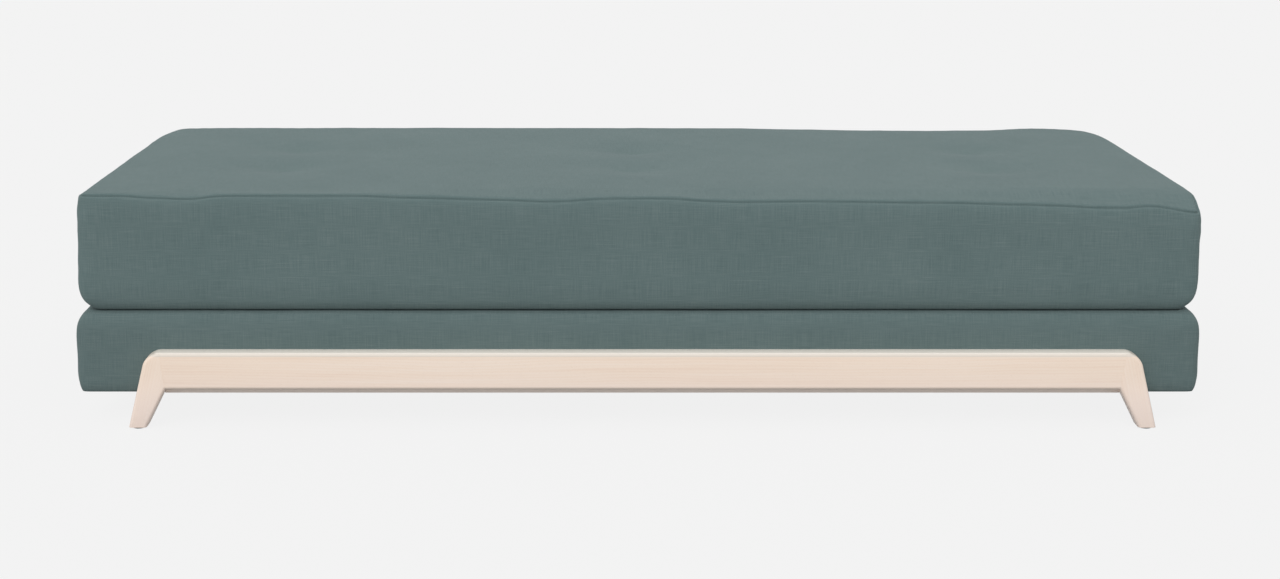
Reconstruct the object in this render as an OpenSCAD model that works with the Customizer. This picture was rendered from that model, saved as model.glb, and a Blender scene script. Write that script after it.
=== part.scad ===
// Sofa bed: a tufted mattress on a padded box base, with a wooden rail and two splayed legs in front.
// The mattress turns half a turn about the hinges at the rear edge and lies beside the base,
// which makes a double bed. The origin is on the floor under the middle of the whole footprint.
// +X runs along the seat, -Y is the front.

/* [Whole sofa] */
// Length of the base and of the mattress
sofa_l = 2000; // [1800:10:2200]
// Depth of the base and of the mattress
sofa_d = 900; // [800:10:1000]
// Height of the base's underside above the floor
base_clearance = 60; // [58:1:80]
// Height of the padded base at its rim
base_h = 147.5; // [143:0.5:160]
// Open line between the base's rim and the mattress
layer_gap = 6; // [5:0.5:8]
// Air under the mattress when it is folded out
fold_floor_gap = 1.5; // [1:0.5:10]
// Thickness of the padding outside the inner boxes
pad_t = 16; // [14:1:24]

/* [Front frame] */
// Distance from the sofa's end to a foot's outer corner
frame_inset = 81; // [72:1:140]
// Height of the rail's lower edge above the floor
rail_clearance = 73; // [69:1:76]
// Height of the front rail
rail_h = 67; // [62:1:70]
// Thickness of the rail and of all legs
rail_t = 34; // [28:1:40]
// Width of a leg at the foot
foot_w = 32; // [28:1:36]
// Width of a leg at the rail's lower edge
knee_w = 50; // [44:1:54]
// Slope of a leg's outer edge, in degrees
leg_splay = 14.2; // [10:0.2:16]
// Radius of the shoulder where a leg turns into the rail's upper edge
shoulder_r = 32; // [26:1:38]
// Rounding of the rail's and the legs' edges in front
edge_r = 6; // [3:0.5:8]
// Height of the glide under a foot
glide_h = 3; // [2:0.5:5]
// Radius of the glide under a foot
glide_r = 11; // [8:0.5:13]

/* [Base box] */
// Thickness of the boards of both inner boxes
board_t = 22; // [18:1:25]
// Height of the base's boards
base_board_h = 110; // [105:1:115]
// Height of the slats' seat above the boards' lower edge
slat_seat_h = 76.5; // [75:0.5:80]
// Height of the ledger battens that carry the slats
ledger_h = 20; // [16:0.5:20]
// Thickness of the ledger battens
ledger_t = 24; // [18:1:30]
// Width of a slat
slat_w = 70; // [50:1:80]
// Thickness of a slat
slat_t = 12; // [9:1:16]
// Number of slats
slat_n = 13; // [9:1:15]
// Height of the rail under the middle of the slats
centre_rail_h = 60; // [40:1:70]
// Side of the square corner blocks
block_w = 38; // [25:1:42]
// Height of the base's corner blocks
base_block_h = 70; // [50:1:74]
// Thickness of the base's cover over the foam
base_skin_t = 8; // [6:0.5:12]
// How far the base's cover draws in at its upper edge
base_draw = 16; // [12:0.5:20]
// Flat rim round the crown of the base
base_rim_w = 60; // [40:5:100]
// Thickness of the dust cover
dust_t = 1.5; // [1:0.25:3]

/* [Mattress] */
// How much shorter than the base the mattress is at each end
mattress_end_inset = 5; // [0:1:10]
// Rise of the mattress's top above its upper seam
crown_h = 5; // [4:0.5:12]
// How far from the edge the crown still rises
crown_run = 170; // [100:5:250]
// How far the mattress draws in at its lower edge
mattress_draw = 20; // [16:0.5:24]
// Radius of the upright edges of both covers, seen from above
corner_r = 10; // [8:0.5:16]
// Thickness of the mattress's cover under the foam
under_skin_t = 8; // [6:0.5:12]
// Thickness of the mattress's cover over the foam, at the seam
top_skin_t = 10; // [9:0.5:14]
// Thickness of the mattress's lower foam sheet
lower_foam_t = 30; // [20:1:40]
// Height of the mattress's boards and core
mattress_board_h = 110; // [90:1:120]
// Distance from one tuft to the next along the seat
tuft_pitch = 675; // [600:5:700]
// Distance from the middle line to a row of tufts
tuft_row = 120; // [110:5:170]
// Depth of a tuft
tuft_depth = 11; // [6:0.5:13]
// Width over which a tuft draws the cover down
tuft_reach = 46; // [35:1:55]
// Radius of a washer at a tuft's end
washer_r = 14; // [10:0.5:18]
// Thickness of a washer at a tuft's end
washer_t = 2; // [1:0.5:3]
// Radius of a tuft's twine
twine_r = 1.5; // [1:0.1:2.5]

/* [Hinges] */
// Distance from one hinge to the next
hinge_pitch = 700; // [500:10:800]
// Width of a hinge
hinge_w = 60; // [50:1:80]
// Length of a hinge leaf, from the pin's line
leaf_l = 98; // [90:1:104]
// Thickness of a hinge leaf
leaf_t = 2.5; // [2:0.1:3.5]
// Rounding of a leaf's far corners
leaf_r = 8; // [4:0.5:12]
// Space between two leaves when the hinge is folded out
leaf_fold_gap = 2.4; // [2:0.1:4]
// Outer radius of a hinge knuckle
knuckle_r = 6; // [5.5:0.1:7]
// Length of the middle knuckle
mid_knuckle_w = 23; // [18:0.5:28]
// Radius of the hinge pin
pin_r = 3; // [2.5:0.1:3.5]
// Radius of the hinge pin's heads
pin_head_r = 4.5; // [4:0.1:5.4]
// Thickness of the hinge pin's heads
pin_head_t = 2; // [1:0.25:3]

/* [Fasteners] */
// Radius of a dowel
dowel_r = 5; // [4:0.5:6]
// Length of a dowel
dowel_l = 40; // [30:1:44]
// Radius of a frame bolt's shank
bolt_r = 4; // [3:0.5:4.5]
// Length of a bolt into the front frame
front_bolt_l = 60; // [52:1:66]
// Length of a bolt through a rear leg
rear_bolt_l = 46; // [40:1:50]
// Radius of a frame bolt's flanged head
bolt_head_r = 8; // [7:0.5:9]
// Height of a frame bolt's head
bolt_head_h = 5; // [4:0.5:6]
// Width across the corners of the bolt's hexagon socket, halved
bolt_socket_r = 3; // [2:0.25:3.5]
// Depth of the bolt's hexagon socket
bolt_socket_h = 3; // [2:0.25:3.5]
// Radius of a hinge screw's shank
screw_r = 2.5; // [2:0.25:3]
// Radius of a hinge screw's countersunk head
screw_head_r = 4.75; // [4:0.25:5.5]
// Length of a hinge screw
screw_l = 35; // [30:1:38]

/* [Clearances] */
// Soft covers and what lies on them, face to face
seat_gap = 0.3; // [0.2:0.05:0.5]
// Dowels, bolts and screws in the holes that hold them, on the radius
grip_clearance = 0.05; // [0.02:0.01:0.1]
// Bolts, screws and twines in the holes that they pass, on the radius
pass_clearance = 0.5; // [0.3:0.05:0.8]
// Hinge pin in its knuckles, on the radius
pin_clearance = 0.05; // [0.02:0.01:0.1]
// Hinge knuckles and leaves beside each other
knuckle_gap = 0.5; // [0.3:0.05:0.8]
// Loose inner pieces beside each other
inner_gap = 1; // [0.5:0.25:2]
// Ledger battens beside the rear legs
ledger_gap = 4; // [2:1:10]
// End of a dowel in its hole
dowel_end_gap = 1; // [0.5:0.25:2]

/* [Hidden] */

// Colours
fabric_colour = [0.39, 0.45, 0.45];
wood_colour = [0.91, 0.84, 0.77];
board_colour = [0.80, 0.68, 0.50];
foam_colour = [0.93, 0.90, 0.80];
steel_colour = [0.72, 0.73, 0.75];
dust_colour = [0.20, 0.20, 0.21];
glide_colour = [0.35, 0.34, 0.33];
twine_colour = [0.55, 0.57, 0.55];

// Facets of full circles and steps of outline arcs
round_fn = 48;
arc_steps = 8;
// Steps of a rounded edge
edge_steps = 4;
// Extra reach of a cut past the face that it opens
overrun = 2;

// Heights of the base
board_z = base_clearance + dust_t;
board_top = board_z + base_board_h;
slat_z = board_z + slat_seat_h;
base_top = base_clearance + base_h;
foam_top = base_top - base_skin_t;
hinge_z = base_top + layer_gap / 2;

// Heights of the mattress: folded out, its top lies just above the floor
mattress_z = hinge_z + layer_gap / 2;
mattress_full_h = hinge_z - fold_floor_gap - layer_gap / 2;
mattress_h = mattress_full_h - crown_h;
seam_z = mattress_z + mattress_h;
core_z = mattress_z + under_skin_t + lower_foam_t;
core_top = core_z + mattress_board_h;
upper_foam_top = seam_z - top_skin_t;

// Inner boxes of both layers
mattress_l = sofa_l - 2 * mattress_end_inset;
box_l = sofa_l - 2 * pad_t;
box_d = sofa_d - 2 * pad_t;
box_in_l = box_l - 2 * board_t;
box_in_d = box_d - 2 * board_t;
mattress_box_l = mattress_l - 2 * pad_t;
mattress_in_l = mattress_box_l - 2 * board_t;

// Front frame
rail_top = rail_clearance + rail_h;
foot_x = sofa_l / 2 - frame_inset;
rail_front = -sofa_d / 2 - seat_gap - rail_t;
shoulder_turn = 90 - leg_splay;
corner_x = leg_outer_x(rail_top);
shoulder_run = shoulder_r * tan(shoulder_turn / 2);
shoulder_x = corner_x - shoulder_run;
knee_x = leg_outer_x(rail_clearance) - knee_w;
rear_leg_y = box_in_d / 2 - rail_t;
ledger_l = 2 * (knee_x - ledger_gap);

// Hinges
leaf_y = sofa_d / 2 + seat_gap;
leaf_out_y = leaf_y + leaf_t;
hinge_y = leaf_out_y + leaf_fold_gap / 2;
side_knuckle_w = (hinge_w - mid_knuckle_w) / 2 - knuckle_gap;
leaf_start = knuckle_r + knuckle_gap;

// The sofa's own middle line, behind the middle of the footprint
mid_y = (-rail_front - hinge_y - knuckle_r) / 2;

// Shares of the sizes that they follow
dowel_rows_share = [0.27, 0.73];
rail_bolts_share = [-0.68, -0.23, 0.23, 0.68];
rear_bolts_share = [0.25, 0.75];
screw_rows_share = [0.62, 0.86];
screw_column_share = 0.3;
// Height up the side, then how much of the full draw the cover is drawn in there
mattress_side_share = [
    [0, 1], [0.06, 0.55], [0.13, 0.27], [0.24, 0.1], [0.42, 0], [0.76, 0], [0.91, 0.1], [1, 0.32]
];
base_side_share = [
    [0, 0.45], [0.05, 0.15], [0.14, 0.04], [0.35, 0], [0.72, 0], [0.87, 0.2], [0.96, 0.6], [1, 1]
];
// Lines of the covers' upper faces, from the last tuft line or from the middle to the edge
edge_lines_share = [0.3, 0.62, 0.86, 0.965, 1];
base_lines_share = [0.3, 0.6, 0.8, 0.92, 0.985, 1];
tuft_lines_share = [0.85, 2];

// Outline of a leg

// Outer edge of a right leg at height z
function leg_outer_x(z) = foot_x - (z - glide_h) * tan(leg_splay);

// Inner edge of a right leg at height z, below the knee
function leg_inner_x(z) =
    foot_x - foot_w - (z - glide_h) * (foot_x - foot_w - knee_x) / (rail_clearance - glide_h);

// Line of the joint between the rail and a right leg at height z, above the knee
function joint_x(z) = knee_x + (z - rail_clearance) * (shoulder_x - knee_x) / rail_h;

// A right leg from the glide to the height top, with its round shoulder: its edges are drawn in by inset,
// all but the one that meets the rail
function leg_points(top, inset) =
    let (
        centre_x = leg_outer_x(top) - shoulder_run,
        centre_z = top - shoulder_r,
        r = shoulder_r - inset,
        joint_run = inset * (shoulder_x - knee_x) / rail_h
    )
    concat(
        [[foot_x - inset / cos(leg_splay), glide_h]],
        [for (k = [0:arc_steps]) let (a = leg_splay + shoulder_turn * k / arc_steps)
            [centre_x + r * cos(a), centre_z + r * sin(a)]],
        [
            [centre_x - joint_run, top - inset],
            [knee_x + joint_run, rail_clearance + inset],
            [foot_x - foot_w + inset / cos(leg_splay), glide_h]
        ]
    );

// Steps of a quarter circle of radius r: how far in from the front, and how far the edge is drawn in there
function edge_table(r) =
    [for (k = [0:edge_steps]) let (a = 90 * k / edge_steps) [r * (1 - cos(a)), r * (1 - sin(a))]];

// A rectangle whose far corners are round: from near to far, both across and along positive
function strap_points(w, near, far, r) = concat(
    [[-w / 2, near], [w / 2, near]],
    [for (k = [0:arc_steps]) let (a = 90 * k / arc_steps)
        [w / 2 - r + r * cos(a), far - r + r * sin(a)]],
    [for (k = [0:arc_steps]) let (a = 90 + 90 * k / arc_steps)
        [-w / 2 + r + r * cos(a), far - r + r * sin(a)]]
);

// Soft forms

function limit(v, low, high) = min(max(v, low), high);
function smooth(t) = let (s = limit(t, 0, 1)) s * s * (3 - 2 * s);
function mirrored(lines) =
    concat([for (k = [len(lines) - 1:-1:0]) -lines[k]], [0], lines);

// A point on the edge of a rectangle, moved onto the same rectangle with round corners
function rounded(p, a, b, r) =
    let (c = [limit(p[0], r - a, a - r), limit(p[1], r - b, b - r)], d = p - c)
    (d[0] == 0 || d[1] == 0) ? p : c + d * r / norm(d);

// Rise of a crown at distance e from an edge
function crown_at(e, run) = 1 - pow(1 - limit(e / run, 0, 1), 2);

// Sum of the dips that the tufts make at a point
function tuft_dip(x, y) =
    let (dips = [for (i = [-1:1]) for (j = [-1, 1])
        exp(-(pow(x - i * tuft_pitch, 2) + pow(y - j * tuft_row, 2)) / pow(tuft_reach, 2))])
    tuft_depth * (dips * [for (d = dips) 1]);

function mattress_top_z(x, y, a, b) =
    seam_z + crown_h * crown_at(a - abs(x), crown_run) * crown_at(b - abs(y), crown_run) - tuft_dip(x, y);

function base_top_z(x, y, a, b) =
    base_top + (layer_gap - seat_gap)
        * smooth((a - abs(x) - base_rim_w) / crown_run) * smooth((b - abs(y) - base_rim_w) / crown_run);

// Grid lines on one side of the middle, closer together at the tufts and at the edge
tuft_steps = tuft_lines_share * tuft_reach;
tuft_x_lines = concat(
    tuft_steps, [tuft_pitch / 2], [for (s = [-1, 0, 1]) each tuft_side(tuft_pitch, s)]
);
tuft_y_lines = [for (s = [-1, 0, 1]) each tuft_side(tuft_row, s)];

// The lines before a tuft, through it and past it
function tuft_side(at, side) =
    side == 0 ? [at]
    : side < 0 ? [at - tuft_steps[1], at - tuft_steps[0]]
    : [at + tuft_steps[0], at + tuft_steps[1]];

function to_edge(from, edge, shares) = [for (s = shares) from + (edge - from) * s];

// Lines of the upper face of a cover whose seam lies at half size a
function mattress_lines(lines, a) =
    mirrored(concat(lines, to_edge(lines[len(lines) - 1], a, edge_lines_share)));

// Indices round the border of a grid, anticlockwise seen from above
function border(nx, ny) = concat(
    [for (i = [0:nx - 1]) [i, 0]],
    [for (j = [1:ny - 1]) [nx - 1, j]],
    [for (i = [nx - 2:-1:0]) [i, ny - 1]],
    [for (j = [ny - 2:-1:1]) [0, j]]
);

// A closed padded form of length l: top_heights lie over its grid, share_table gives its drawn-in side
module padded_form(l, xs, ys, top_heights, bottom, side_h, draw, share_table) {
    nx = len(xs);
    ny = len(ys);
    ring = border(nx, ny);
    n = len(ring);
    a = xs[nx - 1];
    b = ys[ny - 1];
    top = [for (i = [0:nx - 1]) for (j = [0:ny - 1])
        let (
            edge = i == 0 || j == 0 || i == nx - 1 || j == ny - 1,
            p = edge ? rounded([xs[i], ys[j]], a, b, corner_r) : [xs[i], ys[j]]
        )
        [p[0], p[1], top_heights[i][j]]];
    levels = len(share_table) - 1;
    sides = [for (k = [0:levels - 1]) for (g = ring)
        let (
            aa = l / 2 - draw * share_table[k][1],
            bb = sofa_d / 2 - draw * share_table[k][1],
            p = rounded([xs[g[0]] / a * aa, ys[g[1]] / b * bb], aa, bb, corner_r)
        )
        [p[0], p[1], bottom + side_h * share_table[k][0]]];
    side_0 = nx * ny;
    middle = side_0 + levels * n;
    upper_faces = [for (i = [0:nx - 2]) for (j = [0:ny - 2])
        let (p = i * ny + j, q = p + ny)
        each [[p, p + 1, q + 1], [p, q + 1, q]]];
    side_faces = [for (k = [0:levels - 1]) for (g = [0:n - 1])
        let (
            h = (g + 1) % n,
            p = side_0 + k * n + g,
            q = side_0 + k * n + h,
            r = k < levels - 1 ? p + n : ring[g][0] * ny + ring[g][1],
            s = k < levels - 1 ? q + n : ring[h][0] * ny + ring[h][1]
        )
        each [[p, r, s], [p, s, q]]];
    lower_faces = [for (g = [0:n - 1]) [middle, side_0 + g, side_0 + (g + 1) % n]];
    polyhedron(
        concat(top, sides, [[0, 0, bottom]]),
        concat(upper_faces, side_faces, lower_faces)
    );
}

// Small helpers

module place() {
    translate([0, mid_y, 0]) children();
}

// A block by its middle in x and y, its lower face and its sizes
module block(x, y, z, w, d, h) {
    translate([x - w / 2, y - d / 2, z]) cube([w, d, h]);
}

// A flat outline drawn in x and z, from y to y + t
module upright(y, t) {
    translate([0, y + t, 0]) rotate([90, 0, 0]) linear_extrude(t) children();
}

// A round bar along y from y to y + l
module bar_y(x, y, z, r, l) {
    translate([x, y, z]) rotate([-90, 0, 0]) cylinder(r = r, h = l, $fn = round_fn);
}

// A round bar along x from x to x + l
module bar_x(x, y, z, r, l) {
    translate([x, y, z]) rotate([0, 90, 0]) cylinder(r = r, h = l, $fn = round_fn);
}

module both_sides() {
    for (side = [0, 1]) mirror([side, 0, 0]) children();
}

// Places that several pieces share

module at_dowels(extra) {
    for (s = dowel_rows_share)
        let (z = rail_clearance + rail_h * s)
            bar_x(joint_x(z) - dowel_l / 2 - (extra > 0 ? dowel_end_gap : 0),
                rail_front + rail_t / 2, z, dowel_r + extra,
                dowel_l + (extra > 0 ? 2 * dowel_end_gap : 0));
}

front_bolt_z = rail_clearance + rail_h / 2;
leg_bolt_x = (joint_x(front_bolt_z) + leg_outer_x(front_bolt_z)) / 2;
front_bolt_xs = concat([-leg_bolt_x], rail_bolts_share * knee_x, [leg_bolt_x]);
rear_bolt_zs = [for (s = rear_bolts_share) board_z + (slat_z - board_z) * s];
rear_bolt_x = (knee_x + leg_outer_x(slat_z)) / 2;
hinge_xs = [-hinge_pitch, 0, hinge_pitch];
// Screws of one leaf, across from its middle and away from the pin's line
leaf_screws = [for (i = [-1, 1]) for (s = screw_rows_share)
    [i * hinge_w * screw_column_share, leaf_start + (leaf_l - leaf_start) * s]];
hinge_screws = [for (x = hinge_xs) for (s = leaf_screws) [x + s[0], s[1]]];
tufts = [for (i = [-1:1]) for (j = [-1, 1]) [i * tuft_pitch, j * tuft_row]];

// Holes for the front bolts, from y to y + l
module front_bolt_holes(y, l, clearance) {
    for (x = front_bolt_xs) bar_y(x, y, front_bolt_z, bolt_r + clearance, l);
}

module rear_bolt_holes(y, l, clearance) {
    both_sides() for (z = rear_bolt_zs) bar_y(rear_bolt_x, y, z, bolt_r + clearance, l);
}

// Holes for the hinge screws: side is -1 below the pins and 1 above them
module screw_holes(side, y, l, clearance) {
    for (s = hinge_screws) bar_y(s[0], y, hinge_z + side * s[1], screw_r + clearance, l);
}

// A round bar of radius r at each tuft, from z to z + h
module at_tufts(z, r, h) {
    for (t = tufts) translate([t[0], t[1], z]) cylinder(r = r, h = h, $fn = round_fn);
}

module tuft_holes(z, h) {
    at_tufts(z, twine_r + pass_clearance, h);
}

module washer_seats(z) {
    at_tufts(z, washer_r + pass_clearance, washer_t);
}

// Front frame and legs

// The rail before its holes: the outline between the legs, cut from a bar with round edges in front
module rail_blank() {
    edge = edge_table(edge_r);
    intersection() {
        upright(rail_front, rail_t) polygon([
            [-knee_x, rail_clearance], [knee_x, rail_clearance],
            [shoulder_x, rail_top], [-shoulder_x, rail_top]
        ]);
        rotate([90, 0, 90]) linear_extrude(sofa_l, center = true) polygon(concat(
            [[rail_front + rail_t, rail_clearance], [rail_front + rail_t, rail_top]],
            [for (k = [edge_steps:-1:0]) [rail_front + edge[k][0], rail_top - edge[k][1]]],
            [for (e = edge) [rail_front + e[0], rail_clearance + e[1]]]
        ));
    }
}

// A leg before its holes, from y to y + rail_t, with round edges in front
module leg_blank(y, top) {
    hull() {
        for (e = edge_table(edge_r)) upright(y + e[0], rail_t - e[0]) polygon(leg_points(top, e[1]));
    }
}

module front_rail() color(wood_colour) place() {
    difference() {
        rail_blank();
        both_sides() at_dowels(grip_clearance);
        front_bolt_holes(-box_in_d / 2 - front_bolt_l - grip_clearance, front_bolt_l, grip_clearance);
    }
}

module front_leg() {
    difference() {
        leg_blank(rail_front, rail_top);
        at_dowels(grip_clearance);
        bar_y(leg_bolt_x, -box_in_d / 2 - front_bolt_l - grip_clearance, front_bolt_z,
            bolt_r + grip_clearance, front_bolt_l);
    }
}

module rear_leg() {
    difference() {
        leg_blank(rear_leg_y, slat_z);
        for (z = rear_bolt_zs)
            bar_y(rear_bolt_x, rear_leg_y - overrun, z, bolt_r + pass_clearance, rail_t + 2 * overrun);
    }
}

module front_left_leg() color(wood_colour) place() mirror([1, 0, 0]) front_leg();
module front_right_leg() color(wood_colour) place() front_leg();
module rear_left_leg() color(wood_colour) place() mirror([1, 0, 0]) rear_leg();
module rear_right_leg() color(wood_colour) place() rear_leg();

module frame_dowels() color(board_colour) place() {
    both_sides() at_dowels(0);
}

// A flanged bolt along +Y from its head's seat at y = 0
module bolt(l) {
    rotate([-90, 0, 0]) difference() {
        rotate_extrude($fn = round_fn) polygon([
            [0, -bolt_head_h], [bolt_head_r * 0.6, -bolt_head_h], [bolt_head_r * 0.75, -bolt_head_h * 0.35],
            [bolt_head_r, -bolt_head_h * 0.3], [bolt_head_r, 0], [bolt_r, 0],
            [bolt_r, l - bolt_r / 4], [bolt_r * 0.75, l], [0, l]
        ]);
        translate([0, 0, -bolt_head_h - overrun])
            cylinder(r = bolt_socket_r, h = bolt_socket_h + overrun, $fn = 6);
    }
}

module front_frame_bolts() color(steel_colour) place() {
    for (x = front_bolt_xs)
        translate([x, -box_in_d / 2, front_bolt_z]) mirror([0, 1, 0]) bolt(front_bolt_l);
}

module rear_leg_bolts() color(steel_colour) place() {
    both_sides() for (z = rear_bolt_zs) translate([rear_bolt_x, rear_leg_y, z]) bolt(rear_bolt_l);
}

module foot_glides() color(glide_colour) place() {
    both_sides() for (y = [rail_front + rail_t / 2, rear_leg_y + rail_t / 2])
        translate([foot_x - foot_w / 2, y, 0]) cylinder(r = glide_r, h = glide_h, $fn = round_fn);
}

// Base box

module base_front_board() color(board_colour) place() {
    difference() {
        block(0, (board_t - box_d) / 2, board_z, box_l, board_t, base_board_h);
        front_bolt_holes(-box_d / 2 - overrun, board_t + 2 * overrun, pass_clearance);
    }
}

module base_rear_board() color(board_colour) place() {
    difference() {
        block(0, (box_d - board_t) / 2, board_z, box_l, board_t, base_board_h);
        rear_bolt_holes(rear_leg_y, rear_bolt_l + grip_clearance, grip_clearance);
        screw_holes(-1, leaf_out_y - screw_l, screw_l, grip_clearance);
    }
}

module base_right_board() color(board_colour) place()
    block((box_l - board_t) / 2, 0, board_z, board_t, box_in_d, base_board_h);

module base_left_board() color(board_colour) place()
    block((board_t - box_l) / 2, 0, board_z, board_t, box_in_d, base_board_h);

// Square blocks in the four inner corners of a box of inner length l
module corner_blocks(l, z, h) {
    for (i = [-1, 1]) for (j = [-1, 1])
        block(i * (l - block_w) / 2, j * (box_in_d - block_w) / 2, z, block_w, block_w, h);
}

module base_corner_blocks() color(board_colour) place() corner_blocks(box_in_l, board_z, base_block_h);

module base_centre_rail() color(board_colour) place()
    block(0, 0, slat_z - centre_rail_h, box_in_l, board_t, centre_rail_h);

module base_ledgers() color(board_colour) place() {
    for (j = [-1, 1])
        block(0, j * (box_in_d - ledger_t) / 2, slat_z - ledger_h, ledger_l, ledger_t, ledger_h);
}

module base_slats() color(board_colour) place() {
    for (k = [0:slat_n - 1])
        block(
            (ledger_l - slat_w) * (k / (slat_n - 1) - 0.5), 0, slat_z,
            slat_w, box_in_d - 2 * inner_gap, slat_t
        );
}

module base_foam() color(foam_colour) place() {
    union() {
        block(
            0, 0, slat_z + slat_t,
            box_in_l - 2 * inner_gap, box_in_d - 2 * inner_gap, foam_top - slat_z - slat_t
        );
        block(0, 0, board_top, box_l, box_d, foam_top - board_top);
    }
}

module base_cover() color(fabric_colour) place() {
    a = sofa_l / 2 - base_draw;
    b = sofa_d / 2 - base_draw;
    xs = mirrored(to_edge(0, a, base_lines_share));
    ys = mirrored(to_edge(0, b, base_lines_share));
    heights = [for (x = xs) [for (y = ys) base_top_z(x, y, a, b)]];
    difference() {
        padded_form(sofa_l, xs, ys, heights, base_clearance, base_h, base_draw, base_side_share);
        block(0, 0, base_clearance - overrun, box_l, box_d, foam_top - base_clearance + overrun);
        front_bolt_holes(-sofa_d / 2 - overrun, pad_t + 2 * overrun, pass_clearance);
        screw_holes(-1, box_d / 2 - overrun, pad_t + 2 * overrun, pass_clearance);
    }
}

module dust_cover() color(dust_colour) place() {
    difference() {
        block(0, 0, base_clearance, box_l, box_d, dust_t);
        both_sides()
            translate([leg_inner_x(board_z) - inner_gap, rear_leg_y - inner_gap, base_clearance - overrun])
            cube([
                leg_outer_x(base_clearance) - leg_inner_x(board_z) + 2 * inner_gap,
                rail_t + 2 * inner_gap,
                dust_t + 2 * overrun
            ]);
    }
}

// Hinges

// A leaf below the pin's line: its knuckles reach from the first to the second x of each span
module leaf(spans) {
    difference() {
        union() {
            upright(leaf_y, leaf_t) mirror([0, 1])
                polygon(strap_points(hinge_w, leaf_start, leaf_l, leaf_r));
            for (s = spans) {
                translate([s[0], leaf_y, -leaf_start - overrun])
                    cube([s[1] - s[0], leaf_t, leaf_start + overrun]);
                bar_x(s[0], hinge_y, 0, knuckle_r, s[1] - s[0]);
            }
        }
        bar_x(-hinge_w / 2 - overrun, hinge_y, 0, pin_r + pin_clearance, hinge_w + 2 * overrun);
        for (s = leaf_screws) translate([s[0], leaf_out_y, -s[1]]) rotate([90, 0, 0]) {
            cylinder(r = screw_r + pass_clearance, h = leaf_t + overrun, $fn = round_fn);
            translate([0, 0, -overrun]) cylinder(
                r1 = screw_head_r + overrun + grip_clearance,
                r2 = screw_r + grip_clearance,
                h = screw_head_r - screw_r + overrun, $fn = round_fn
            );
        }
    }
}

module hinge_base_leaves() color(steel_colour) place() {
    for (x = hinge_xs) translate([x, 0, hinge_z]) leaf([
        [-hinge_w / 2, -hinge_w / 2 + side_knuckle_w], [hinge_w / 2 - side_knuckle_w, hinge_w / 2]
    ]);
}

module hinge_mattress_leaves() color(steel_colour) place() {
    for (x = hinge_xs) translate([x, 0, hinge_z]) mirror([0, 0, 1])
        leaf([[-mid_knuckle_w / 2, mid_knuckle_w / 2]]);
}

module hinge_pins() color(steel_colour) place() {
    seat = hinge_w / 2 + grip_clearance;
    end = seat + pin_head_t;
    for (x = hinge_xs) translate([x, hinge_y, hinge_z]) rotate([0, 90, 0]) rotate_extrude($fn = round_fn)
        polygon([
            [0, -end], [pin_head_r, -end], [pin_head_r, -seat], [pin_r, -seat],
            [pin_r, seat], [pin_head_r, seat], [pin_head_r, end], [0, end]
        ]);
}

// A countersunk screw along -Y from its head's face at y = 0
module screw() {
    rotate([90, 0, 0]) rotate_extrude($fn = round_fn) polygon([
        [0, 0], [screw_head_r, 0], [screw_r, screw_head_r - screw_r],
        [screw_r, screw_l - 2 * screw_r], [0, screw_l]
    ]);
}

module base_hinge_screws() color(steel_colour) place() {
    for (s = hinge_screws) translate([s[0], leaf_out_y, hinge_z - s[1]]) screw();
}

module mattress_hinge_screws() color(steel_colour) place() {
    for (s = hinge_screws) translate([s[0], leaf_out_y, hinge_z + s[1]]) screw();
}

// Mattress

module mattress_cover() color(fabric_colour) place() {
    seam_draw = mattress_draw * mattress_side_share[len(mattress_side_share) - 1][1];
    a = mattress_l / 2 - seam_draw;
    b = sofa_d / 2 - seam_draw;
    xs = mattress_lines(tuft_x_lines, a);
    ys = mattress_lines(tuft_y_lines, b);
    heights = [for (x = xs) [for (y = ys) mattress_top_z(x, y, a, b)]];
    difference() {
        padded_form(
            mattress_l, xs, ys, heights, mattress_z, mattress_h, mattress_draw, mattress_side_share
        );
        block(
            0, 0, mattress_z + under_skin_t,
            mattress_box_l, box_d, upper_foam_top - mattress_z - under_skin_t
        );
        screw_holes(1, box_d / 2 - overrun, pad_t + 2 * overrun, pass_clearance);
    }
}

module mattress_front_board() color(board_colour) place()
    block(0, (board_t - box_d) / 2, core_z, mattress_box_l, board_t, mattress_board_h);

module mattress_rear_board() color(board_colour) place() {
    difference() {
        block(0, (box_d - board_t) / 2, core_z, mattress_box_l, board_t, mattress_board_h);
        screw_holes(1, leaf_out_y - screw_l, screw_l, grip_clearance);
    }
}

module mattress_right_board() color(board_colour) place()
    block((mattress_box_l - board_t) / 2, 0, core_z, board_t, box_in_d, mattress_board_h);

module mattress_left_board() color(board_colour) place()
    block((board_t - mattress_box_l) / 2, 0, core_z, board_t, box_in_d, mattress_board_h);

module mattress_corner_blocks() color(board_colour) place()
    corner_blocks(mattress_in_l, core_z, mattress_board_h);

module mattress_lower_foam() color(foam_colour) place() {
    z = mattress_z + under_skin_t;
    difference() {
        block(0, 0, z, mattress_box_l, box_d, lower_foam_t);
        washer_seats(z);
        tuft_holes(z - overrun, lower_foam_t + 2 * overrun);
    }
}

module mattress_core() color(foam_colour) place() {
    difference() {
        block(0, 0, core_z, mattress_in_l, box_in_d, mattress_board_h);
        corner_blocks(mattress_in_l, core_z - overrun, mattress_board_h + 2 * overrun);
        tuft_holes(core_z - overrun, mattress_board_h + 2 * overrun);
    }
}

module mattress_upper_foam() color(foam_colour) place() {
    difference() {
        block(0, 0, core_top, mattress_box_l, box_d, upper_foam_top - core_top);
        washer_seats(upper_foam_top - washer_t);
        tuft_holes(core_top - overrun, upper_foam_top - core_top + 2 * overrun);
    }
}

module tuft_twines() color(twine_colour) place() {
    z = mattress_z + under_skin_t + washer_t;
    at_tufts(z, twine_r, upper_foam_top - washer_t - z);
}

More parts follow.
